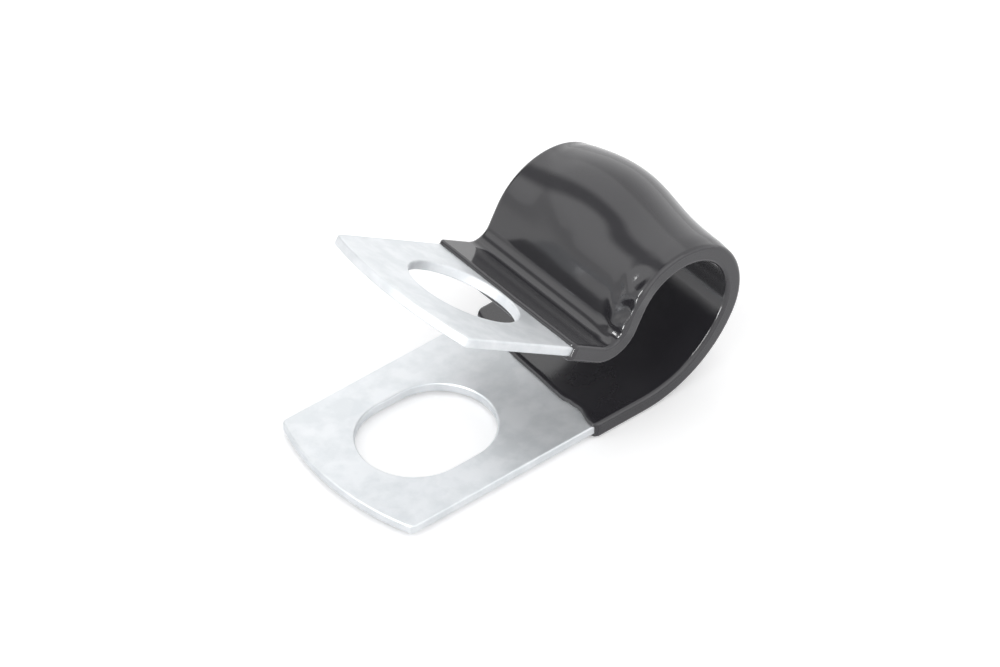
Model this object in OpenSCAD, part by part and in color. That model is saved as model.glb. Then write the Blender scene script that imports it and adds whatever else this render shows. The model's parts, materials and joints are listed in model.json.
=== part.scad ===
// P clip: a vinyl-dipped steel strap that holds one cable under a bolt.
// The strip is drawn as it is formed: flat lower leg, cable loop, neck bend, raised upper leg.
// Origin: middle of the lower leg's slot, on its underside. X along the cable, Y to the loop.

/* [Strip] */
// Width of the steel strip
strap_w = 19; // [16:0.5:25]
// Thickness of the steel
strap_t = 1; // [0.8:0.1:1.5]
// Rounding of the sheared steel edges
edge_r = 0.2; // [0.1:0.05:0.3]

/* [Bolt legs] */
// Bolt that the clip is made for
bolt_d = 10; // [6:1:10]
// Play of the bolt in the hole and in the slot
bolt_play = 1; // [0.4:0.1:1.2]
// How far the bolt can slide along the lower leg
slot_travel = 2.8; // [0.5:0.1:5]
// Middle of the slot, measured back from the loop
slot_from_loop = 18.1; // [17:0.1:20]
// Middle of the round hole, measured out from the neck bend
hole_from_bend = 9.8; // [8.5:0.1:11]
// Lower leg, from the loop to its end corners
lower_leg = 27.5; // [26:0.5:32]
// Upper leg, from the neck bend to its end corners
upper_leg = 18.2; // [17:0.1:22]
// Rise of the curved leg ends beyond their corners
end_rise = 1.75; // [1:0.05:2.5]
// Rounding of the corners of the leg ends
corner_r = 0.6; // [0.4:0.1:1.5]

/* [Loop] */
// Diameter of the vinyl-lined cable seat at the crown
seat_d = 10.5; // [8:0.5:14]
// Inner radius of the steel at the slack heel of the loop
heel_r = 10.7; // [8:0.1:14]
// Angle that the heel turns through
heel_turn = 62; // [50:1:75]
// Angle that heel and crown turn through together
loop_turn = 240; // [225:1:245]
// Inner radius of the almost straight stretch between the crown and the neck bend
neck_sweep = 60; // [40:1:90]
// Angle that this stretch turns through
neck_ease = 2; // [1:0.5:3]
// Inner radius of the neck bend
neck_r = 2.1; // [1.6:0.1:3]
// Angle that the upper leg stands open before it is bolted down
open_angle = 32.7; // [24:0.1:38]

/* [Vinyl] */
// Thickness of the vinyl on the flat faces
coat_t = 0.4; // [0.3:0.05:0.6]
// Thickness of the vinyl on the strip's edges
coat_side = 0.35; // [0.3:0.05:0.6]
// Swell of the vinyl over the crest of the loop, where the dip gathers
coat_swell = 1.1; // [0.4:0.1:1.2]
// Direction that the swell faces, measured up from the bolted surface
swell_turn = 60; // [40:5:80]
// Rounding of the jacket's long corners
coat_corner = 0.45; // [0.35:0.05:0.6]
// Lower leg under vinyl, measured at the middle of the strip
coat_lower = 5.5; // [4:0.1:7]
// Slant of the vinyl's lower border from the dip
coat_slant = 4; // [0:0.5:5]
// Bare steel between the vinyl's upper border and the round hole
coat_gap = 0.2; // [0.2:0.1:1]

/* [Hidden] */
$fn = 96;
over = 1;
figures = 6;
tiny = 1e-9;
half_w = strap_w / 2;
hole_r = (bolt_d + bolt_play) / 2;

// Curved leg end, and the share of its radius at which a corner's rounding is centred
end_r = (half_w * half_w + end_rise * end_rise) / (2 * end_rise);
nip_share = 0.8;
corner_inset = nip_share * corner_r;

// Vinyl section
jacket_w = strap_w + 2 * coat_side;
jacket_h = strap_t + 2 * coat_t;
coat_upper = hole_from_bend - hole_r - coat_gap;
lip_share = 0.8;
lip_r = lip_share * coat_t;
lip_plan_share = 2.5;
lip_plan_r = lip_plan_share * coat_t;
lip_inset = nip_share * lip_plan_r;

// Bend axes, measured from the strip's outer face
crown_r = seat_d / 2 + coat_t;
heel_axis = heel_r + strap_t;
crown_axis = crown_r + strap_t;
ease_axis = neck_sweep + strap_t;
crown_turn = loop_turn - heel_turn;
neck_turn = loop_turn + neck_ease - 180 + open_angle;

// Swell: a ring set off towards its crest, so that it rises out of the jacket and sinks back
swell_sink = 0.05;
swell_skin = 0.01;
swell_off = coat_swell + swell_sink;
swell_base = crown_axis + coat_t - swell_off - swell_skin;
swell_chord = jacket_w - 2 * coat_corner;
swell_reach = 92;
swell_steps = 8;

// A number cut to six figures, as an exchange file keeps it
function figure_step(x) = pow(10, floor(log(abs(x))) + 1 - figures);
function six_figures(x) = abs(x) < tiny ? 0 : round(x / figure_step(x)) * figure_step(x);

// Stations along the strip's outer face: [y, z, heading]
function turned(s, axis, a) = [
    s[0] + axis * (sin(s[2] + a) - sin(s[2])),
    s[1] - axis * (cos(s[2] + a) - cos(s[2])),
    s[2] + a
];
loop_start = [slot_from_loop, 0, 0];
crown_start = turned(loop_start, heel_axis, heel_turn);
neck_start = turned(crown_start, crown_axis, crown_turn);
bend_start = turned(neck_start, ease_axis, neck_ease);
leg_start = turned(bend_start, -neck_r, -neck_turn);

// Shifts its children in a coarse and a fine step, so neighbouring stretches share end faces
module shift(p) {
    near = [for (x = p) six_figures(x)];
    translate(near)
        translate(p - near)
            children();
}

// Stands its children on the strip's outer face at a station, running along +Y
module at(s) {
    near = atan2(six_figures(sin(s[2])), six_figures(cos(s[2])));
    shift([0, s[0], s[1]])
        rotate([s[2], 0, 0])
            rotate([s[2] - near, 0, 0])
                children();
}

// Draws a strip section along a straight stretch
module run(len) {
    translate([0, len, 0])
        rotate([90, 0, 0])
            linear_extrude(len)
                children();
}

// Turns a strip section from a station, about an axis that lies on its inner side
module bend_in(s, axis, a) {
    shift([0, s[0] - axis * sin(s[2]), s[1] + axis * cos(s[2])])
        rotate([0, 90, 0])
            rotate_extrude(start = s[2], angle = a)
                translate([axis, 0])
                    rotate(90)
                        children();
}

// Turns a strip section from a station, about an axis that lies on its outer side
module bend_out(s, axis, a) {
    shift([0, s[0] + axis * sin(s[2]), s[1] - axis * cos(s[2])])
        rotate([0, -90, 0])
            rotate_extrude(start = -s[2], angle = a)
                translate([axis, 0])
                    rotate(-90)
                        children();
}

// The whole folded stretch between the two legs, for any strip section
module folded() {
    bend_in(loop_start, heel_axis, heel_turn)
        children();
    bend_in(crown_start, crown_axis, crown_turn)
        children();
    bend_in(neck_start, ease_axis, neck_ease)
        children();
    bend_out(bend_start, neck_r, neck_turn)
        children();
}

// Box section with rounded corners, standing on y = 0
module rounded_section(w, h, r) {
    translate([-w / 2 + r, 0])
        square([w - 2 * r, h]);
    translate([-w / 2, r])
        square([w, h - 2 * r]);
    for (x = [r - w / 2, w / 2 - r], y = [r, h - r])
        translate([x, y])
            circle(r);
}

// Steel section, from its outer face at y = 0
module strip_section() {
    rounded_section(strap_w, strap_t, edge_r);
}

// Half of a disc of strip with a rounded rim
module disc_section(r) {
    square([r - edge_r, strap_t]);
    translate([0, edge_r])
        square([r, strap_t - 2 * edge_r]);
    for (y = [edge_r, strap_t - edge_r])
        translate([r - edge_r, y])
            circle(edge_r);
}

// Flat leg that runs from y = 0 to its curved end, with the corners nipped round
module leg(len) {
    difference() {
        intersection() {
            run(len + end_rise + over)
                strip_section();
            translate([0, len + end_rise - end_r, 0])
                rotate_extrude()
                    disc_section(end_r);
        }
        for (side = [0, 1])
            mirror([side, 0, 0])
                translate([half_w - corner_inset, len - corner_inset, -over])
                    linear_extrude(strap_t + 2 * over)
                        difference() {
                            square(2 * corner_r);
                            circle(corner_r);
                        }
    }
}

// Half outline of the punch that leaves a rounded rim on both faces
module punch_outline() {
    difference() {
        union() {
            translate([0, -over])
                square([hole_r, strap_t + 2 * over]);
            for (y = [-over, strap_t - edge_r])
                translate([hole_r - over, y])
                    square([over + edge_r, over + edge_r]);
        }
        for (y = [edge_r, strap_t - edge_r])
            translate([hole_r + edge_r, y])
                circle(edge_r);
    }
}

// Punch for a hole, stretched along Y by its travel
module punch(travel) {
    for (side = [0, 1])
        rotate(180 * side)
            translate([0, travel / 2, 0])
                rotate_extrude(angle = 180)
                    punch_outline();
    if (travel > 0)
        translate([0, -travel / 2, 0])
            run(travel)
                for (side = [0, 1])
                    mirror([side, 0])
                        punch_outline();
}

module strap() {
    color("LightSteelBlue") {
        difference() {
            translate([0, slot_from_loop, 0])
                mirror([0, 1, 0])
                    leg(lower_leg);
            punch(slot_travel);
        }
        folded()
            strip_section();
        at(leg_start)
            difference() {
                leg(upper_leg);
                translate([0, hole_from_bend, 0])
                    punch(0);
            }
    }
}

// Vinyl outline round the steel
module jacket_section() {
    translate([0, -coat_t])
        rounded_section(jacket_w, jacket_h, coat_corner);
}

// Barrel of vinyl over the crest of the loop, buried in the jacket where it ends
module swell() {
    middle = [
        crown_start[0] - crown_axis * sin(crown_start[2]),
        crown_start[1] + crown_axis * cos(crown_start[2])
    ];
    shift([0, middle[0] + swell_off * cos(swell_turn), middle[1] + swell_off * sin(swell_turn)])
        rotate([0, 90, 0])
            rotate_extrude(start = swell_turn + 90 - swell_reach, angle = 2 * swell_reach)
                polygon([
                    [crown_r, -swell_chord / 2],
                    for (i = [0 : swell_steps])
                        let (t = 2 * i / swell_steps - 1)
                            [swell_base + coat_swell * (1 - t * t), t * swell_chord / 2],
                    [crown_r, swell_chord / 2]
                ]);
}

// Jacket from y = 0 to its lip, which slants across the strip and is rounded at its corners
module jacket_end(len, slant) {
    difference() {
        intersection() {
            run(len + jacket_w)
                jacket_section();
            translate([0, len, 0])
                rotate(slant)
                    rotate([90, 0, 90])
                        linear_extrude(2 * jacket_w, center = true)
                            translate([-jacket_w, -coat_t])
                                rounded_section(2 * jacket_w, jacket_h, lip_r);
        }
        for (side = [-1, 1])
            translate([side * jacket_w / 2, len + side * tan(slant) * jacket_w / 2, -jacket_h])
                linear_extrude(3 * jacket_h)
                    mirror([side < 0 ? 1 : 0, 0])
                        translate([-lip_inset, -lip_inset])
                            difference() {
                                square(2 * lip_plan_r);
                                circle(lip_plan_r);
                            }
    }
}

module vinyl_coating() {
    color("DimGray")
        difference() {
            union() {
                translate([0, slot_from_loop, 0])
                    mirror([0, 1, 0])
                        jacket_end(coat_lower, coat_slant);
                folded()
                    jacket_section();
                swell();
                at(leg_start)
                    jacket_end(coat_upper, 0);
            }
            strap();
        }
}

strap();
vinyl_coating();
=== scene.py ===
import json
import math

import bpy
import numpy as np
from mathutils import Matrix, Vector, geometry, noise
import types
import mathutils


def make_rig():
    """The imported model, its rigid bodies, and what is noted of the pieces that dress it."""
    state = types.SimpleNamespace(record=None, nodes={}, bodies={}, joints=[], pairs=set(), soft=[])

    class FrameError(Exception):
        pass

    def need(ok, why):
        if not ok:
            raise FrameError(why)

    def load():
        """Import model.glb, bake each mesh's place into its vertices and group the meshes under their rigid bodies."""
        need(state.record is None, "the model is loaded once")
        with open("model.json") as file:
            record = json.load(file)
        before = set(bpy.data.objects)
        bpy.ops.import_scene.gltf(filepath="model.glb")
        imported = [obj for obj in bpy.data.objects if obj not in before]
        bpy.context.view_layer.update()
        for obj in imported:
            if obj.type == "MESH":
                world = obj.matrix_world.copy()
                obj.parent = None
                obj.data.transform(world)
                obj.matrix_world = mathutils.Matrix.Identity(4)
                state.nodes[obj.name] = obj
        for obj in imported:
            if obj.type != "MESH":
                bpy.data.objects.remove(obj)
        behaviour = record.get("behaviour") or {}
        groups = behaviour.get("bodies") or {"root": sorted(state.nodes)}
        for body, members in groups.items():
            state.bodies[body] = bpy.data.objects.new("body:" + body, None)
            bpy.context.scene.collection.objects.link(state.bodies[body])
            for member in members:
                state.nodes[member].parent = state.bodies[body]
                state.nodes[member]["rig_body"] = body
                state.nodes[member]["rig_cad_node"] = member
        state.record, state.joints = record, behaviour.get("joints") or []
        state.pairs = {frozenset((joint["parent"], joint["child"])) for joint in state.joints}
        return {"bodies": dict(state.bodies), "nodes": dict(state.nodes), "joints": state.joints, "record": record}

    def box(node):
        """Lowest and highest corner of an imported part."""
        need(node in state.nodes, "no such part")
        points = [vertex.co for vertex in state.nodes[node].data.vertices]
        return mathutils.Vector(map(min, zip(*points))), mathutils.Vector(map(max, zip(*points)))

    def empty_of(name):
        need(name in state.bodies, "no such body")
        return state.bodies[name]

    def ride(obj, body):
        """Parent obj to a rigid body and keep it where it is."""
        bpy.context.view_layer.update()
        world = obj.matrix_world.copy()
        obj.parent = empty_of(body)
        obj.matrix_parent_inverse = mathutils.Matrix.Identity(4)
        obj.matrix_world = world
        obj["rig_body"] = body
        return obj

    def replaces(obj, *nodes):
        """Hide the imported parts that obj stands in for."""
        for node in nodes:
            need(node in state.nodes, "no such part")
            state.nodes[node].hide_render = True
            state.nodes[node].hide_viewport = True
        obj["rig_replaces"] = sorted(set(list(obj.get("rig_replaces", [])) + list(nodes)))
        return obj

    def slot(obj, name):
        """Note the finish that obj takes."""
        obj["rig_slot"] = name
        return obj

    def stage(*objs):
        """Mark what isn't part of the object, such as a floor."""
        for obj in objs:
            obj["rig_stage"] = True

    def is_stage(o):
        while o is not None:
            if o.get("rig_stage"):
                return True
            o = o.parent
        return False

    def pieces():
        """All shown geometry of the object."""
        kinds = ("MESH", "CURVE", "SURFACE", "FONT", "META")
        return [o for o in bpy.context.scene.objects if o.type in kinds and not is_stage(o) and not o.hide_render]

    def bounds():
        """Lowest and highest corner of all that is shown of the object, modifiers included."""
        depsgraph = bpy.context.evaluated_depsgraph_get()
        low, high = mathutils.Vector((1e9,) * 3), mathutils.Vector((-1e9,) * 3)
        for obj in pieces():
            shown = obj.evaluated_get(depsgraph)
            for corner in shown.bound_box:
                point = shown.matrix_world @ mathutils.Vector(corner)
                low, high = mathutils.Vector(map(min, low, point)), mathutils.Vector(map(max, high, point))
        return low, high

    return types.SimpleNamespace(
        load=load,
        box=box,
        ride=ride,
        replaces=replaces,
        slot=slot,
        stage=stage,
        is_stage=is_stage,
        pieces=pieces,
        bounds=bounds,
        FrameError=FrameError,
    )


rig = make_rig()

bl_info = {
    "name": "Vinyl-dipped P clip",
    "version": (1, 0, 0),
    "blender": (4, 5, 0),
    "location": "View3D > Sidebar > P clip",
    "description": "Builds a folded steel P clip, its vinyl jacket and a white studio round it",
    "category": "Add Mesh",
}

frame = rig.load()
CAD_BOX = [list(corner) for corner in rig.bounds()]
MOUNTS = {m["name"]: m for m in frame["record"]["mounts"]}
MM = 0.001
TINY = 1e-9

# Cross rows in the heel, the crown, the neck's sweep and the neck bend
BEND_ROWS = (18, 60, 3, 30)
# Points round each corner of the jacket's section, and columns on its inner and outer faces
CORNER_STEPS, INNER_COLUMNS, OUTER_COLUMNS = 7, 34, 60
# Rows from the jacket's lips to the loop and to the raised leg, and steps round a rolled lip
LOW_ROWS, HIGH_ROWS, LIP_STEPS = 14, 10, 9
# Places where the vinyl's lower border is drawn back: across the strip, half width and depth, in mm
DRAWN_BACK = ((-11.0, 3.4, 0.75), (6.9, 1.3, 0.5), (5.35, 0.22, 0.25))


# ---------------------------------------------------------------- settings

def length(name, text, value, low, high):
    return bpy.props.FloatProperty(
        name=name, description=text, default=value * MM, min=low * MM, max=high * MM,
        unit="LENGTH", subtype="DISTANCE", precision=5)


def angle(name, text, value, low, high):
    return bpy.props.FloatProperty(
        name=name, description=text, default=math.radians(value), min=math.radians(low),
        max=math.radians(high), unit="ROTATION", subtype="ANGLE")


class ClipSettings(bpy.types.PropertyGroup):
    strap_t: length("Steel thickness", "Thickness of the strip", 1.0, 0.8, 1.5)
    edge_r: length("Edge rounding", "Rounding of the sheared steel edges", 0.2, 0.1, 0.3)
    lower_leg: length("Lower leg", "From the loop to the end corners", 27.5, 26, 32)
    upper_leg: length("Upper leg", "From the neck bend to the end corners", 18.2, 17, 22)
    end_rise: length("End rise", "Rise of the curved leg ends", 1.75, 1, 2.5)
    corner_r: length("Corner rounding", "Rounding of the leg corners", 0.65, 0.4, 1.5)
    slot_from_loop: length("Slot place", "From the loop to the slot", 18.1, 17, 20)
    hole_from_bend: length("Hole place", "From the neck bend to the round hole", 9.8, 8.5, 11)
    heel_r: length("Heel radius", "Inner steel radius at the slack heel", 10.7, 8, 14)
    heel_turn: angle("Heel turn", "Angle that the heel turns through", 62, 50, 75)
    loop_turn: angle("Loop turn", "Heel and crown together", 240, 225, 245)
    neck_sweep: length("Neck sweep", "Radius of the almost straight neck", 60, 40, 90)
    neck_ease: angle("Neck ease", "Angle of the almost straight neck", 2, 1, 3)
    neck_r: length("Neck bend", "Inner radius of the neck bend", 2.1, 1.6, 3)
    open_angle: angle("Opening", "Angle that the upper leg stands open", 32.7, 24, 38)
    coat_t: length("Vinyl", "Vinyl on the flat faces", 0.4, 0.3, 0.6)
    coat_side: length("Vinyl at the edges", "Vinyl on the strip's edges", 0.35, 0.3, 0.6)
    coat_swell: length("Swell", "Extra vinyl over the crest of the loop", 1.3, 0.4, 1.5)
    swell_place: length("Swell place", "Where the swell is fullest across the strip", -2.5, -4, 4)
    swell_turn: angle("Swell direction", "Where the swell faces, up from the floor", 60, 40, 80)
    coat_corner: length("Vinyl corners", "Rounding of the long corners", 0.45, 0.35, 0.6)
    coat_lower: length("Lower border", "Lower leg under vinyl", 5.6, 4, 7)
    coat_slant: angle("Border slant", "Slant of the lower border", 4, 0, 5)
    coat_gap: length("Upper border", "Bare steel before the round hole", 0.2, 0.2, 1)
    dip_wave: length("Dip wave", "Unevenness of the vinyl's borders", 0.1, 0, 0.4)
    dip_sag: length("Dip sag", "Unevenness of the vinyl's skin", 0.025, 0, 0.1)
    dip_fold: length("Dip folds", "Folds of the vinyl beside the front edge of the neck", 0.55, 0, 0.6)


def values():
    return bpy.context.scene.p_clip


# ---------------------------------------------------------------- node helpers

def socket(node, identifier, outputs=False):
    for s in (node.outputs if outputs else node.inputs):
        if s.identifier == identifier:
            return s
    raise KeyError(identifier)


class Tree:
    """Adds nodes to a tree from left to right and links them."""

    def __init__(self, tree):
        self.tree = tree
        self.x = 0

    def add(self, kind, **settings):
        node = self.tree.nodes.new(kind)
        node.location = (self.x, 0)
        self.x += 180
        for key, value in settings.items():
            setattr(node, key, value)
        return node

    def link(self, a, b):
        self.tree.links.new(a, b)

    def feed(self, target, value):
        if isinstance(value, bpy.types.NodeSocket):
            self.link(value, target)
        else:
            target.default_value = value

    def math(self, operation, a, b=None):
        node = self.add("ShaderNodeMath", operation=operation)
        self.feed(node.inputs[0], a)
        if b is not None:
            self.feed(node.inputs[1], b)
        return node.outputs[0]


# ---------------------------------------------------------------- folding

def fold_group():
    """One bend of the strip: everything past Start turns about an axis across it."""
    group = bpy.data.node_groups.new("Fold strip", "GeometryNodeTree")
    face = group.interface
    face.new_socket("Geometry", in_out="INPUT", socket_type="NodeSocketGeometry")
    for name, note in (("Start", "Where the bend starts along the flat strip"),
                       ("Axis", "Height of the bend's axis, below zero for a bend outwards"),
                       ("Length", "Length of flat strip that the bend takes up"),
                       ("Neutral", "Height of the layer that keeps its length")):
        face.new_socket(name, in_out="INPUT", socket_type="NodeSocketFloat", description=note)
    face.new_socket("Geometry", in_out="OUTPUT", socket_type="NodeSocketGeometry")
    t = Tree(group)
    given = t.add("NodeGroupInput")
    geo, start, axis, taken, neutral = given.outputs[:5]
    run = t.add("GeometryNodeInputNamedAttribute", data_type="FLOAT")
    run.inputs["Name"].default_value = "run"
    place = t.add("ShaderNodeSeparateXYZ")
    t.link(t.add("GeometryNodeInputPosition").outputs[0], place.inputs[0])
    x, y, z = place.outputs
    past = t.math("SUBTRACT", run.outputs["Attribute"], start)
    used = t.math("MINIMUM", t.math("MAXIMUM", past, 0.0), taken)
    turn = t.math("DIVIDE", used, t.math("SUBTRACT", axis, neutral))
    radius = t.math("SUBTRACT", axis, z)
    ahead = t.math("SUBTRACT", t.math("SUBTRACT", y, start), used)
    sine = t.math("SINE", turn)
    cosine = t.math("COSINE", turn)
    new_y = t.math("ADD", start, t.math("ADD", t.math("MULTIPLY", radius, sine),
                                        t.math("MULTIPLY", ahead, cosine)))
    new_z = t.math("SUBTRACT", t.math("ADD", axis, t.math("MULTIPLY", ahead, sine)),
                   t.math("MULTIPLY", radius, cosine))
    joined = t.add("ShaderNodeCombineXYZ")
    for i, value in enumerate((x, new_y, new_z)):
        t.link(value, joined.inputs[i])
    move = t.add("GeometryNodeSetPosition")
    t.link(geo, move.inputs["Geometry"])
    t.link(joined.outputs[0], move.inputs["Position"])
    out = t.add("NodeGroupOutput")
    t.link(move.outputs[0], out.inputs[0])
    return group


def bends(v):
    """(start, axis height, length) of each bend along the flat strip, and where the last one ends."""
    neutral = v.strap_t / 2
    seat_r = MOUNTS["cable_seat"]["dims"]["r_mm"] * MM
    plan = [
        (v.heel_r + v.strap_t, v.heel_turn),
        (seat_r + v.coat_t + v.strap_t, v.loop_turn - v.heel_turn),
        (v.neck_sweep + v.strap_t, v.neck_ease),
        (-v.neck_r, v.loop_turn + v.neck_ease - math.pi + v.open_angle),
    ]
    out, start = [], 0.0
    for axis, turn in plan:
        taken = abs(axis - neutral) * turn
        out.append((start, axis, taken))
        start += taken
    return out, start


def fold(flat, name, material, v):
    """Folds a flat piece, last bend first, and returns it as a plain mesh object."""
    tree = bpy.data.node_groups.new(name + " forming", "GeometryNodeTree")
    tree.interface.new_socket("Geometry", in_out="INPUT", socket_type="NodeSocketGeometry")
    tree.interface.new_socket("Geometry", in_out="OUTPUT", socket_type="NodeSocketGeometry")
    group = bpy.data.node_groups.get("Fold strip") or fold_group()
    t = Tree(tree)
    geo = t.add("NodeGroupInput").outputs[0]
    for start, axis, taken in reversed(bends(v)[0]):
        node = t.add("GeometryNodeGroup", node_tree=group)
        t.link(geo, node.inputs["Geometry"])
        node.inputs["Start"].default_value = start
        node.inputs["Axis"].default_value = axis
        node.inputs["Length"].default_value = taken
        node.inputs["Neutral"].default_value = v.strap_t / 2
        geo = node.outputs["Geometry"]
    place = t.add("GeometryNodeTransform")
    t.link(geo, place.inputs["Geometry"])
    place.inputs["Translation"].default_value = (0, v.slot_from_loop, 0)
    realize = t.add("GeometryNodeRealizeInstances")
    t.link(place.outputs[0], realize.inputs[0])
    dress = t.add("GeometryNodeSetMaterial")
    t.link(realize.outputs[0], dress.inputs["Geometry"])
    dress.inputs["Material"].default_value = material
    out = t.add("NodeGroupOutput")
    t.link(dress.outputs[0], out.inputs[0])

    blank = bpy.data.objects.new(name + "_blank", flat)
    bpy.context.scene.collection.objects.link(blank)
    modifier = blank.modifiers.new("Forming", "NODES")
    modifier.node_group = tree
    graph = bpy.context.evaluated_depsgraph_get()
    mesh = bpy.data.meshes.new_from_object(blank.evaluated_get(graph))
    bpy.data.objects.remove(blank)
    mesh.name = name
    piece = bpy.data.objects.new(name, mesh)
    bpy.context.scene.collection.objects.link(piece)
    if not mesh.materials:
        mesh.materials.append(material)
    return piece


def shade(mesh):
    """Smooth shading in which large flats keep their direction and small rims turn between them."""
    for polygon in mesh.polygons:
        polygon.use_smooth = True
    areas = np.array([p.area for p in mesh.polygons])
    normals = np.array([p.normal for p in mesh.polygons])
    total = np.zeros((len(mesh.vertices), 3))
    for p, area, normal in zip(mesh.polygons, areas, normals):
        for i in p.vertices:
            total[i] += normal * area
    total /= np.maximum(np.linalg.norm(total, axis=1, keepdims=True), 1e-12)
    mesh.normals_split_custom_set_from_vertices([tuple(n) for n in total])


def new_mesh(name, points, faces):
    """A flat mesh of (across, along, height) points that keeps each point's place along the strip."""
    mesh = bpy.data.meshes.new(name)
    mesh.from_pydata(points, [], faces)
    mesh.validate()
    run = mesh.attributes.new("run", "FLOAT", "POINT")
    run.data.foreach_set("value", [p[1] for p in points])
    mesh.update()
    return mesh


# ---------------------------------------------------------------- steel strip

def arc(cx, cy, r, first, last, steps):
    return [(cx + r * math.cos(first + (last - first) * i / steps),
             cy + r * math.sin(first + (last - first) * i / steps)) for i in range(steps + 1)]


def leg_end(v, reach, inset, half_w):
    """Right-hand half of a leg's end that points along +Y: its corner, then the arc to its middle."""
    end_r = (half_w ** 2 + v.end_rise ** 2) / (2 * v.end_rise)
    centre = reach + v.end_rise - end_r
    corner_x = half_w - v.corner_r
    lean = math.asin(corner_x / (end_r - v.corner_r))
    corner_y = centre + (end_r - v.corner_r) * math.cos(lean)
    points = arc(corner_x, corner_y, v.corner_r - inset, 0, math.pi / 2 - lean, 8)
    return points + arc(0, centre, end_r - inset, math.pi / 2 - lean, math.pi / 2, 14)[1:]


def samples(v):
    """Places of the cross rows in the bends, and where the last bend ends."""
    rows = []
    plan, end = bends(v)
    for (start, _, taken), count in zip(plan, BEND_ROWS):
        rows += [start + taken * i / count for i in range(count)]
    return rows + [end], end


def strip_outline(v, inset, half_w):
    """Closed outline of the flat strip, anticlockwise from the middle of the lower leg's end."""
    rows, end = samples(v)
    top = [(x, y + end) for x, y in leg_end(v, v.upper_leg, inset, half_w)]
    low = [(x, -y) for x, y in leg_end(v, v.lower_leg, inset, half_w)]
    right = low[::-1] + [(half_w - inset, y) for y in rows] + top
    left = [(-x, y) for x, y in right[::-1] if x > TINY]
    return right + left


def hole_outline(centre, radius, travel, steps=48):
    """Closed outline of a punched hole, stretched along the strip by travel."""
    points = arc(0, centre + travel / 2, radius, 0, math.pi, steps)
    if travel > 0:
        return points + arc(0, centre - travel / 2, radius, math.pi, 2 * math.pi, steps)
    return points[:-1] + arc(0, centre, radius, math.pi, 2 * math.pi, steps)[:-1]


def rim_levels(v, steps=4):
    """(inset, height) of each loop down a rounded sheared edge, from the top face to the underside."""
    out = []
    for i in range(steps + 1):
        a = math.pi / 2 * i / steps
        out.append((v.edge_r * (1 - math.sin(a)), v.strap_t - v.edge_r * (1 - math.cos(a))))
    return out + [(inset, v.strap_t - height) for inset, height in reversed(out)]


def inside(point, loop):
    x, y = point
    odd = False
    for (x1, y1), (x2, y2) in zip(loop, loop[1:] + loop[:1]):
        if (y1 > y) != (y2 > y) and x < (x2 - x1) * (y - y1) / (y2 - y1) + x1:
            odd = not odd
    return odd


def steel_blank(v):
    """The punched flat strip, with both holes and rounded sheared edges."""
    half_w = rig.box("strap")[1][0]
    slot, hole = MOUNTS["bolt_slot"]["dims"], MOUNTS["upper_bolt_hole"]["dims"]
    end = samples(v)[1]
    travel = slot["slot_length_mm"] * MM - 2 * slot["hole_r_mm"] * MM

    def loops(inset):
        return [
            strip_outline(v, inset, half_w),
            hole_outline(-v.slot_from_loop, slot["hole_r_mm"] * MM + inset, travel),
            hole_outline(end + v.hole_from_bend, hole["r_mm"] * MM + inset, 0),
        ]

    points, faces, rings = [], [], []
    levels = rim_levels(v)
    for inset, height in levels:
        ring = []
        for loop in loops(inset):
            ring.append([len(points) + i for i in range(len(loop))])
            points += [(x, y, height) for x, y in loop]
        rings.append(ring)
    for upper, lower in zip(rings, rings[1:]):
        for index, (a, b) in enumerate(zip(upper, lower)):
            n = len(a)
            for i in range(n):
                j = (i + 1) % n
                quad = (a[i], b[i], b[j], a[j])
                faces.append(quad if index == 0 else quad[::-1])

    flat = loops(levels[0][0])
    corners = [Vector(p) for loop in flat for p in loop]
    edges, base = [], 0
    for loop in flat:
        edges += [(base + i, base + (i + 1) % len(loop)) for i in range(len(loop))]
        base += len(loop)
    outline = flat[0]
    by_row = {}
    for i, (x, y) in enumerate(outline):
        if -TINY <= y <= end + TINY and abs(abs(x) - half_w + levels[0][0]) < TINY:
            by_row.setdefault(round(y, 9), []).append(i)
    edges += [tuple(pair) for pair in by_row.values() if len(pair) == 2]
    found = geometry.delaunay_2d_cdt(corners, edges, [], 1, TINY)
    spots, triangles, origin = found[0], found[2], found[3]
    where = [o[0] if o else None for o in origin]
    underside = len(corners) * (len(levels) - 1)
    for triangle in triangles:
        middle = sum((spots[i] for i in triangle), Vector((0, 0))) / 3
        if not inside(middle, outline) or any(inside(middle, loop) for loop in flat[1:]):
            continue
        keys = [where[i] for i in triangle]
        if None in keys:
            raise RuntimeError("the strip's flat face needs a point that its outline doesn't have")
        a, b, c = (spots[i] for i in triangle)
        if (b - a).cross(c - a) < 0:
            keys.reverse()
        faces.append(tuple(keys))
        faces.append(tuple(underside + k for k in reversed(keys)))
    return new_mesh("strap_flat", points, faces)


# ---------------------------------------------------------------- vinyl jacket

def jacket_loop(v, half_w):
    """Section of the jacket: (outer x, outer height, steel x, steel height) round the strip."""
    top, low = v.strap_t + v.coat_t, -v.coat_t
    r = v.coat_corner
    flat = half_w + v.coat_side - r
    corners = ((flat, top - r), (-flat, top - r), (-flat, low + r), (flat, low + r))
    outer = []
    for quarter, (cx, cy) in enumerate(corners):
        outer += arc(cx, cy, r, quarter * math.pi / 2, (quarter + 1) * math.pi / 2, CORNER_STEPS)
        if quarter == 0:
            outer += [(flat - 2 * flat * i / INNER_COLUMNS, top) for i in range(1, INNER_COLUMNS)]
        if quarter == 2:
            outer += [(-flat + 2 * flat * i / OUTER_COLUMNS, low) for i in range(1, OUTER_COLUMNS)]
    loop = []
    steel_flat = half_w - v.edge_r
    for x, y in outer:
        cx = max(-steel_flat, min(steel_flat, x))
        cy = max(v.edge_r, min(v.strap_t - v.edge_r, y))
        away = Vector((x - cx, y - cy))
        if away.length > 0:
            away.normalize()
        loop.append((x, y, cx + away.x * v.edge_r, cy + away.y * v.edge_r))
    return loop


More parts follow.
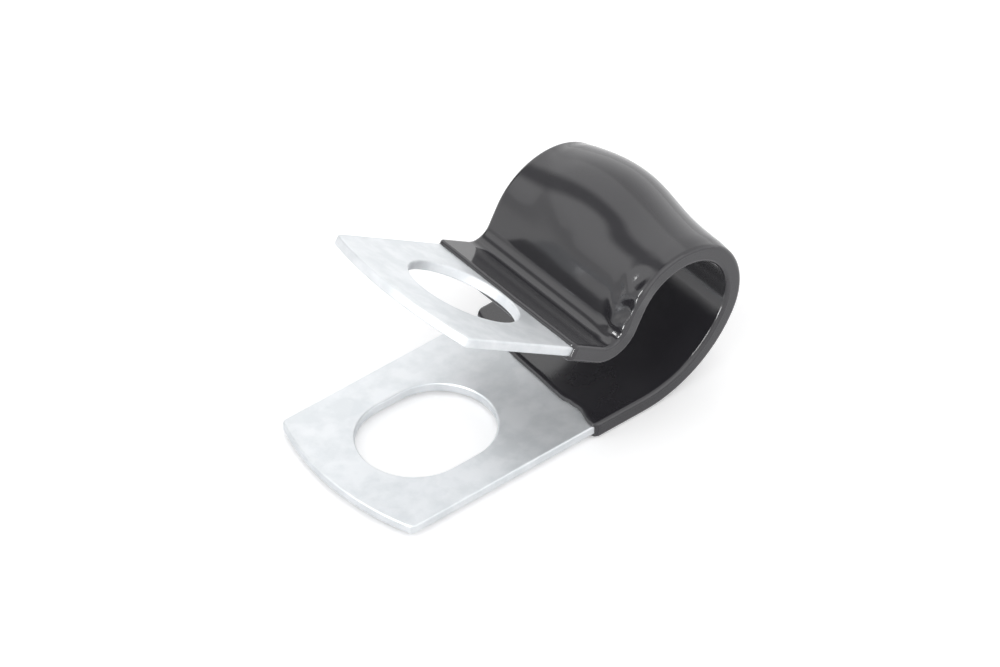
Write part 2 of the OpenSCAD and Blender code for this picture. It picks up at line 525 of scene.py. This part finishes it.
def swell_law(v, flat):
    """Rise of the vinyl over the crest of the loop, as a function of a place on its outer face."""
    start, axis, _ = bends(v)[0][1]
    neutral_r = axis - v.strap_t / 2
    first = v.heel_turn - math.pi / 2 - v.swell_turn
    full = v.coat_swell
    off = full + 0.05 * MM
    skin = axis + v.coat_t
    left_spread, right_spread = 6.6 * MM, 5.8 * MM
    blend = 0.3 * MM
    sunk, fading = math.radians(115), math.radians(40)
    rim = 0.15

    def rise(x, run):
        turn = first + (run - start) / neutral_r
        fade = max(0.0, min(1.0, (sunk - abs(turn)) / fading))
        across = min(1.0, abs(x) / flat)
        aside = x - v.swell_place
        spread = right_spread if aside > 0 else left_spread
        ring = skin - off + full * math.exp(-(aside / spread) ** 2) * (1 - across ** 6)
        out = off * math.cos(turn) + math.sqrt(max(0.0, ring ** 2 - (off * math.sin(turn)) ** 2)) - skin
        edge = min(1.0, (1 - across) / rim)
        return (out + math.hypot(out, blend)) / 2 * edge * (2 - edge) * fade * fade * (3 - 2 * fade)

    return rise


def border_law(v, half):
    """How far the vinyl's border is drawn back at a point of the section, below (-1) or above (1)."""
    round_r = 1.0 * MM

    def drawn_back(x, height, side):
        near = max(0.0, abs(x) - (half - round_r)) / round_r
        back = round_r * (1 - math.sqrt(max(0.0, 1 - 0.75 * near ** 2))) * 0.7
        if side < 0:
            for place, width, depth in DRAWN_BACK:
                back += depth * MM * math.exp(-((x / MM - place) / width) ** 2)
        wave = noise.noise(Vector((x * 330, height * 200, 7.0 * side))) * v.dip_wave
        wave += noise.noise(Vector((x * 900, height * 500, 3.0 * side))) * v.dip_wave * 0.4
        return back + wave

    return drawn_back


def fold_law(v, half):
    """Folds that the draining dip leaves on the outer face, beside the front edge of the neck."""
    neck = bends(v)[0][3][0]
    middle_x, spread_x = half - 1.2 * MM, 1.5 * MM
    middle_run, spread_run = neck - 1.4 * MM, 3.6 * MM

    def lift(x, height, run):
        if height > v.strap_t / 2:
            return 0.0
        near = math.exp(-((x - middle_x) / spread_x) ** 2 - ((run - middle_run) / spread_run) ** 2)
        return v.dip_fold * near * noise.noise(Vector((x * 760, run * 620, 11.0)))

    return lift


def vinyl_blank(v):
    """The jacket laid out flat: a skin round the strip with a rolled, uneven lip at each end."""
    half_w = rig.box("strap")[1][0]
    half = half_w + v.coat_side
    loop = jacket_loop(v, half_w)
    swell = swell_law(v, half - v.coat_corner)
    drawn_back = border_law(v, half)
    lift = fold_law(v, half)
    rows, end = samples(v)
    hole = MOUNTS["upper_bolt_hole"]["dims"]["r_mm"] * MM
    upper = end + v.hole_from_bend - hole - v.coat_gap
    lower = -v.coat_lower
    lip = 0.9 * v.coat_t
    low_lip = 1.6 * v.coat_t
    low_rows = [(lower + low_lip) * (1 - i / LOW_ROWS) for i in range(LOW_ROWS)]
    high_rows = [end + (upper - lip - end) * i / HIGH_ROWS for i in range(1, HIGH_ROWS + 1)]
    points, rings = [], []

    def ring(row, full, side, slide=None):
        """One section of the skin, full thick at 1, on a row or on a lip that slides back from it."""
        ids = []
        for x, y, sx, sy in loop:
            along = row
            if side < 0:
                share = min(1.0, max(0.0, row / (lower + low_lip))) if slide is None else 1.0
                along += share * (-math.tan(v.coat_slant) * x + drawn_back(x, y, -1))
            elif side > 0:
                share = min(1.0, max(0.0, (row - end) / (upper - lip - end))) if slide is None else 1.0
                along -= share * drawn_back(x, y, 1)
            if slide is not None:
                along += slide
            thick = full
            if full > 0.5:
                sag = 1 + (v.dip_sag / v.coat_t) * noise.noise(Vector((x * 130, along * 110, y * 300)))
                sag += lift(x, y, row) / v.coat_t
                thick = full * sag
            rise = swell(x, row) if y < 0 else 0.0
            ids.append(len(points))
            points.append((sx + (x - sx) * thick, along, sy + (y - sy) * thick - rise))
        rings.append(ids)

    turns = [math.pi / 2 * i / LIP_STEPS for i in range(LIP_STEPS)]
    for a in turns:
        ring(lower, math.sin(a), -1, low_lip * (1 - math.cos(a)))
    for row in low_rows + rows + high_rows:
        ring(row, 1.0, -1 if row < 0 else (1 if row > end else 0))
    for a in reversed(turns):
        ring(upper, math.sin(a), 1, -lip * (1 - math.cos(a)))
    faces = []
    n = len(loop)
    for a, b in zip(rings, rings[1:]):
        for i in range(n):
            j = (i + 1) % n
            faces.append((a[i], a[j], b[j], b[i]))

    # The side bonded to the steel, closed onto the lips
    inner = [rings[0]]
    for ids in rings[LIP_STEPS:-LIP_STEPS]:
        bonded = []
        for i, (_, _, sx, sy) in zip(ids, loop):
            bonded.append(len(points))
            points.append((sx, points[i][1], sy))
        inner.append(bonded)
    inner.append(rings[-1])
    for a, b in zip(inner, inner[1:]):
        for i in range(n):
            j = (i + 1) % n
            faces.append((b[i], b[j], a[j], a[i]))
    return new_mesh("vinyl_flat", points, faces)


# ---------------------------------------------------------------- materials

def material(name):
    m = bpy.data.materials.new(name)
    m.use_nodes = True
    t = Tree(m.node_tree)
    return m, t, m.node_tree.nodes["Principled BSDF"]


def two_tone(t, factor, low, high, low_place=0.0, high_place=1.0):
    """Colour ramp from one colour to another over a factor."""
    ramp = t.add("ShaderNodeValToRGB")
    for step, place, colour in zip(ramp.color_ramp.elements, (low_place, high_place), (low, high)):
        step.position = place
        step.color = (*colour, 1)
    t.link(factor, ramp.inputs[0])
    return ramp.outputs[0]


def clouds(t, place, scale, detail=2.0, roughness=0.5):
    cloud = t.add("ShaderNodeTexNoise")
    t.link(place, cloud.inputs["Vector"])
    cloud.inputs["Scale"].default_value = scale
    cloud.inputs["Detail"].default_value = detail
    cloud.inputs["Roughness"].default_value = roughness
    return cloud.outputs["Fac"]


def roughen(t, shader, factor, low, high):
    rough = t.add("ShaderNodeMapRange")
    t.link(factor, rough.inputs["Value"])
    rough.inputs["To Min"].default_value = low
    rough.inputs["To Max"].default_value = high
    t.link(rough.outputs[0], shader.inputs["Roughness"])


def dimple(t, shader, factor, strength, depth):
    bump = t.add("ShaderNodeBump")
    bump.inputs["Strength"].default_value = strength
    bump.inputs["Distance"].default_value = depth
    t.link(factor, bump.inputs["Height"])
    t.link(bump.outputs[0], shader.inputs["Normal"])


def galvanised_steel():
    """Zinc-coated steel: pale and satin, faintly clouded, with soft spangle edges."""
    m, t, shader = material("galvanised_steel")
    place = t.add("ShaderNodeTexCoord").outputs["Object"]
    cloud = clouds(t, place, 420, 5, 0.55)
    spangle = t.add("ShaderNodeTexVoronoi", feature="F1")
    t.link(place, spangle.inputs["Vector"])
    spangle.inputs["Scale"].default_value = 620
    tone = t.add("ShaderNodeMix", data_type="RGBA", blend_type="MIX")
    socket(tone, "Factor_Float").default_value = 0.28
    t.link(two_tone(t, cloud, (0.75, 0.78, 0.80), (0.87, 0.89, 0.91), 0.4, 0.6),
           socket(tone, "A_Color"))
    t.link(two_tone(t, spangle.outputs["Color"], (0.74, 0.77, 0.80), (0.84, 0.86, 0.88)),
           socket(tone, "B_Color"))
    t.link(socket(tone, "Result_Color", True), shader.inputs["Base Color"])
    shader.inputs["Metallic"].default_value = 0.65
    roughen(t, shader, cloud, 0.4, 0.54)
    dimple(t, shader, cloud, 0.12, 0.06 * MM)
    return m


def black_vinyl():
    """Glossy dipped vinyl: near black, smooth, with a faint orange-peel skin."""
    m, t, shader = material("black_vinyl")
    place = t.add("ShaderNodeTexCoord").outputs["Object"]
    skin = clouds(t, place, 260, 3)
    t.link(two_tone(t, skin, (0.024, 0.023, 0.027), (0.034, 0.033, 0.038)),
           shader.inputs["Base Color"])
    roughen(t, shader, skin, 0.1, 0.16)
    shader.inputs["IOR"].default_value = 1.7
    shader.inputs["Sheen Weight"].default_value = 0.4
    shader.inputs["Sheen Roughness"].default_value = 0.25
    dimple(t, shader, skin, 0.1, 0.05 * MM)
    return m


def floor_paper():
    """Matt white paper with the faintest fibre, which the camera sees as white."""
    m, t, shader = material("floor_paper")
    place = t.add("ShaderNodeTexCoord").outputs["Object"]
    fibre = clouds(t, place, 300)
    t.link(two_tone(t, fibre, (0.93, 0.93, 0.935), (0.95, 0.95, 0.955)),
           shader.inputs["Base Color"])
    shader.inputs["Roughness"].default_value = 0.9
    seen = t.add("ShaderNodeLightPath")
    shader.inputs["Emission Color"].default_value = (1, 1, 1, 1)
    t.link(t.math("MULTIPLY", seen.outputs["Is Camera Ray"], 0.26),
           shader.inputs["Emission Strength"])
    return m


# ---------------------------------------------------------------- operators

def run_step(operator, work):
    """Runs an operator's work and turns any failure into a stop with its reason."""
    try:
        work()
    except Exception as problem:
        raise RuntimeError(f"{operator.bl_idname} failed: {problem}") from problem
    return {"FINISHED"}


class PCLIP_OT_strap(bpy.types.Operator):
    """Punch and fold the galvanised steel strip"""
    bl_idname = "pclip.strap"
    bl_label = "Steel strap"

    def execute(self, context):
        def work():
            v = values()
            piece = fold(steel_blank(v), "folded_strap", galvanised_steel(), v)
            shade(piece.data)
            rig.ride(piece, "root")
            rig.slot(piece, "galvanised_steel")
            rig.replaces(piece, "strap")
        return run_step(self, work)


class PCLIP_OT_vinyl(bpy.types.Operator):
    """Dip the loop in black vinyl"""
    bl_idname = "pclip.vinyl"
    bl_label = "Vinyl jacket"

    def execute(self, context):
        def work():
            v = values()
            piece = fold(vinyl_blank(v), "vinyl_jacket", black_vinyl(), v)
            shade(piece.data)
            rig.ride(piece, "root")
            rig.slot(piece, "black_vinyl")
            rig.replaces(piece, "vinyl_coating")
        return run_step(self, work)


def soft_box(name, place, aim, size, power, glint=False):
    """Rectangular lamp that looks at a point; a glint lamp shows in shiny surfaces only."""
    light = bpy.data.lights.new(name, "AREA")
    light.shape = "RECTANGLE"
    light.size, light.size_y = size
    light.energy = power
    lamp = bpy.data.objects.new(name, light)
    bpy.context.scene.collection.objects.link(lamp)
    lamp.location = place
    lamp.rotation_euler = (Vector(aim) - Vector(place)).to_track_quat("-Z", "Y").to_euler()
    lamp.visible_diffuse = not glint


def grey_ramp(t, value, levels):
    """Colour ramp of plain greys over a value, from (place, level) pairs."""
    ramp = t.add("ShaderNodeValToRGB")
    steps = ramp.color_ramp.elements
    while len(steps) < len(levels):
        steps.new(0.5)
    for step, (place, level) in zip(steps, levels):
        step.position = place
        step.color = (level, level, level, 1)
    t.link(value, ramp.inputs[0])
    return ramp.outputs[0]


def studio_walls(scene):
    """White room, greyer low down in front, with a dark gap between its lights on the left."""
    world = bpy.data.worlds.new("studio") if scene.world is None else scene.world
    scene.world = world
    world.use_nodes = True
    t = Tree(world.node_tree)
    split = t.add("ShaderNodeSeparateXYZ")
    t.link(t.add("ShaderNodeTexCoord").outputs["Generated"], split.inputs[0])
    x, y, z = split.outputs
    front = grey_ramp(t, z, ((0.0, 1.2), (0.14, 1.05), (0.27, 0.88), (0.38, 0.85),
                             (0.48, 0.9), (0.6, 1.0), (1.0, 1.1)))
    back = grey_ramp(t, z, ((0.0, 1.35), (0.3, 1.2), (0.6, 0.95), (1.0, 1.0)))
    # Ramps only read 0 to 1, so a half is added to the two directions across the room
    to_back, to_right = t.math("ADD", y, 0.5), t.math("ADD", x, 0.5)
    behind = grey_ramp(t, to_back, ((0.35, 0.0), (0.6, 1.0)))
    room = t.add("ShaderNodeMix", data_type="RGBA", blend_type="MIX")
    t.link(behind, socket(room, "Factor_Float"))
    t.link(front, socket(room, "A_Color"))
    t.link(back, socket(room, "B_Color"))
    between = grey_ramp(t, to_back, ((0.12, 0.0), (0.25, 1.0), (0.44, 1.0), (0.58, 0.0)))
    left = grey_ramp(t, to_right, ((0.5, 1.0), (0.85, 0.0)))
    gap = t.math("MULTIPLY", t.math("MULTIPLY", between, left), 0.95)
    wall = t.math("MULTIPLY", socket(room, "Result_Color", True), t.math("SUBTRACT", 1.0, gap))
    shell = world.node_tree.nodes["Background"]
    t.link(wall, shell.inputs["Color"])
    shell.inputs["Strength"].default_value = 1.0


def aim_camera(scene):
    """Long lens from the front right, looking down on the clip."""
    azimuth, elevation, distance = math.radians(50.3), math.radians(41.1), 0.7695
    away = Vector((math.sin(azimuth) * math.cos(elevation),
                   -math.cos(azimuth) * math.cos(elevation), math.sin(elevation)))
    right = Vector((math.cos(azimuth), math.sin(azimuth), 0))
    up = away.cross(right)
    aim = Vector((0, 13.35, 5.7)) * MM - right * 3.51 * MM - up * 0.32 * MM
    data = bpy.data.cameras.new("camera")
    data.sensor_width = 36
    data.lens = 300.3
    data.clip_start = 0.01
    camera = bpy.data.objects.new("camera", data)
    scene.collection.objects.link(camera)
    turn = Matrix((right, up, away)).transposed().to_4x4()
    camera.matrix_world = Matrix.Translation(aim + away * distance) @ turn
    scene.camera = camera


class PCLIP_OT_stage(bpy.types.Operator):
    """Lay white paper under the clip, light it softly and aim the camera"""
    bl_idname = "pclip.stage"
    bl_label = "Studio"

    def execute(self, context):
        def work():
            scene = bpy.context.scene
            side, z = 3.0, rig.bounds()[0].z
            mesh = bpy.data.meshes.new("floor")
            corners = ((-side, -side, z), (side, -side, z), (side, side, z), (-side, side, z))
            mesh.from_pydata(corners, [], [(0, 1, 2, 3)])
            mesh.materials.append(floor_paper())
            floor = bpy.data.objects.new("floor", mesh)
            scene.collection.objects.link(floor)
            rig.stage(floor)

            studio_walls(scene)
            middle = (0, 0.01, 0)
            soft_box("overhead", (-0.5, -0.1, 0.72), middle, (1.6, 0.8), 1.3)
            soft_box("right", (0.7, 0.1, 0.4), middle, (0.7, 0.5), 0.5)
            soft_box("key", (0.03, -0.42, 0.42), middle, (0.14, 0.32), 2.0, glint=True)
            soft_box("low_front", (0.11, -0.58, 0.1), middle, (0.1, 0.16), 0.9, glint=True)
            aim_camera(scene)
            scene.view_settings.view_transform = "Standard"
        return run_step(self, work)


class PCLIP_PT_panel(bpy.types.Panel):
    """Build the clip piece by piece"""
    bl_idname = "PCLIP_PT_panel"
    bl_label = "P clip"
    bl_space_type = "VIEW_3D"
    bl_region_type = "UI"
    bl_category = "P clip"

    def draw(self, context):
        for name in ClipSettings.__annotations__:
            self.layout.prop(context.scene.p_clip, name)
        for operator in STEPS:
            self.layout.operator(operator.bl_idname)


STEPS = (PCLIP_OT_strap, PCLIP_OT_vinyl, PCLIP_OT_stage)
CLASSES = (ClipSettings, *STEPS, PCLIP_PT_panel)


def register():
    for item in CLASSES:
        bpy.utils.register_class(item)
    bpy.types.Scene.p_clip = bpy.props.PointerProperty(type=ClipSettings)


def unregister():
    del bpy.types.Scene.p_clip
    for item in reversed(CLASSES):
        bpy.utils.unregister_class(item)


def main():
    register()
    for step in STEPS:
        group, action = step.bl_idname.split(".")
        getattr(getattr(bpy.ops, group), action)()
    with open("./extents.json", "w") as out:
        json.dump({"cad": CAD_BOX, "visual": [list(c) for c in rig.bounds()]}, out)


if __name__ == "__main__":
    main()
